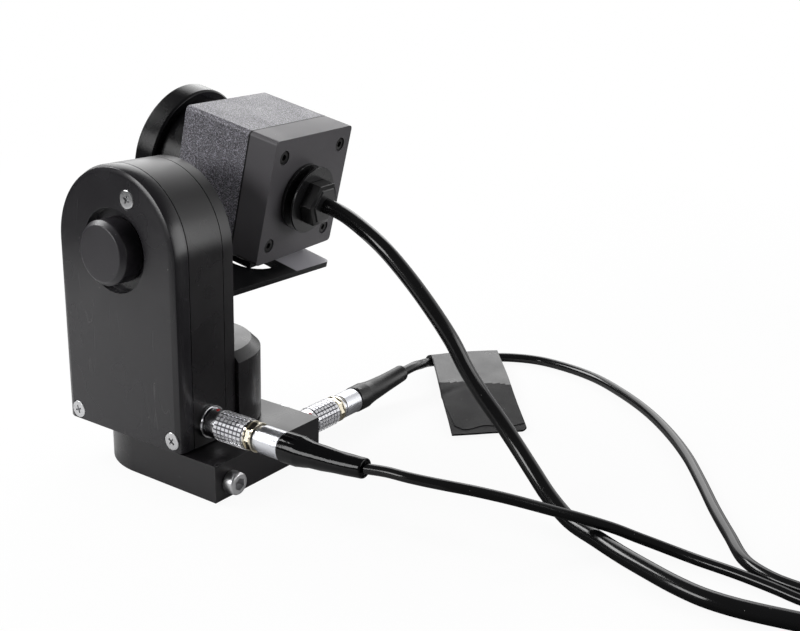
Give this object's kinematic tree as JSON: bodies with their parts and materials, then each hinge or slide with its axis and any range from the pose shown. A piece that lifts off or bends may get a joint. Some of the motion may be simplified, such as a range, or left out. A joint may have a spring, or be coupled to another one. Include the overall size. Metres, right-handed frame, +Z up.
{
  "type": "remote pan tilt head",
  "caption": "Small motorised pan and tilt head with a square camera on its tilt bracket, push-pull plugs and leads, turned on a flat base",
  "frame": {"origin": "centre of the pan axis on the underside of the base", "axes": "+Z up along the pan axis, +X toward the square end of the base, +Y away from the front cover of the tilt housing, toward the camera"},
  "size_m": [0.3489, 0.2194, 0.1136],
  "materials": {
    "black_anodised": "satin black anodised",
    "black_powder_coat": "fine textured black",
    "black_satin": "satin black",
    "glass": "polished",
    "stainless_steel": "satin",
    "blackened_steel": "blackened",
    "brass": "cut",
    "motor_steel": "satin",
    "circuit_board": "solder resist",
    "connector_chrome": "satin chrome",
    "gland_metal": "satin black with bright edges",
    "glossy_boot": "glossy",
    "rubber_boot": "matt",
    "cable_jacket": "satin",
    "cloth_tape": "matt"
  },
  "bodies": {
    "base": {"base_plate": "black_anodised", "base_cover_plate": "black_anodised", "base_end_screw": "stainless_steel", "base_back_screw": "stainless_steel", "pan_spindle": "stainless_steel", "pan_sun_gear": "brass", "base_receptacle": "connector_chrome", "base_plug_core": "connector_chrome", "base_plug_boot": "rubber_boot", "camera_lead_run": "cable_jacket", "camera_lead_coil": "cable_jacket", "camera_lead_connector": "connector_chrome", "camera_lead_tie": "cable_jacket", "head_lead_run": "cable_jacket", "head_lead_coil": "cable_jacket", "head_lead_connector": "connector_chrome", "head_lead_tie": "cable_jacket", "base_lead_run": "cable_jacket", "base_lead_coil": "cable_jacket", "base_lead_connector": "connector_chrome", "base_lead_tie": "cable_jacket", "lead_flag": "cloth_tape"},
    "pan_head": {"head_frame": "black_anodised", "pan_cover": "black_anodised", "pan_bearing": "stainless_steel", "pan_gearmotor": "motor_steel", "tilt_housing_body": "black_anodised", "tilt_front_cover": "black_anodised", "front_cover_screw_1": "stainless_steel", "front_cover_screw_2": "stainless_steel", "front_cover_screw_3": "stainless_steel", "tilt_bearing_front": "stainless_steel", "tilt_bearing_rear": "stainless_steel", "tilt_gearmotor": "motor_steel", "control_board": "circuit_board", "head_receptacle": "connector_chrome", "head_plug_core": "connector_chrome", "head_plug_boot": "glossy_boot"},
    "tilt_cradle": {"tilt_shaft": "stainless_steel", "tilt_gear": "brass", "tilt_axis_cap": "black_anodised", "camera_bracket": "black_satin", "bracket_screw": "stainless_steel", "camera_foot": "black_anodised", "camera_screw": "black_anodised", "camera_body": "black_powder_coat", "camera_rear_cap": "black_satin", "cap_screw_1": "blackened_steel", "cap_screw_2": "blackened_steel", "cap_screw_3": "blackened_steel", "cap_screw_4": "blackened_steel", "lens_barrel": "black_satin", "lens_ring": "black_satin", "lens_glass": "glass", "gland_flange": "gland_metal", "gland_nut": "gland_metal"},
    "pan_drive": {"pan_pinion": "brass"},
    "tilt_drive": {"tilt_pinion": "brass"},
    "head_lock": {"head_plug_sleeve": "connector_chrome"},
    "base_lock": {"base_plug_sleeve": "connector_chrome"}
  },
  "joints": [
    {"name": "pan", "type": "hinge", "parent": "base", "child": "pan_head", "pos_m": [0, 0, 0], "axis": [0, 0, 1], "range_deg": [-170, 170], "deforming": ["camera_lead_run", "head_lead_run"]},
    {"name": "tilt", "type": "hinge", "parent": "pan_head", "child": "tilt_cradle", "pos_m": [-0.00308, 0, 0.0711], "axis": [0, 1, 0], "range_deg": [-55, 45], "deforming": ["camera_lead_run"]},
    {"name": "pan_pinion_spin", "type": "hinge", "parent": "pan_head", "child": "pan_drive", "pos_m": [0, 0.0153, 0], "axis": [0, 0, 1], "range_deg": [-320, 320]},
    {"name": "tilt_pinion_spin", "type": "hinge", "parent": "pan_head", "child": "tilt_drive", "pos_m": [-0.00308, 0, 0.05748], "axis": [0, 1, 0], "range_deg": [-95, 115]},
    {"name": "head_plug_release", "type": "slide", "parent": "pan_head", "child": "head_lock", "axis": [1, 0, 0], "range_m": [0, 0.0015], "stiffness_N_per_m": 800, "springref_m": -0.002},
    {"name": "base_plug_release", "type": "slide", "parent": "base", "child": "base_lock", "axis": [0, 1, 0], "range_m": [0, 0.0015], "stiffness_N_per_m": 800, "springref_m": -0.002}
  ],
  "couplings": [
    {"joint": "pan_pinion_spin", "follows": "pan", "ratio": 1.8462},
    {"joint": "tilt_pinion_spin", "follows": "tilt", "ratio": -2}
  ]
}
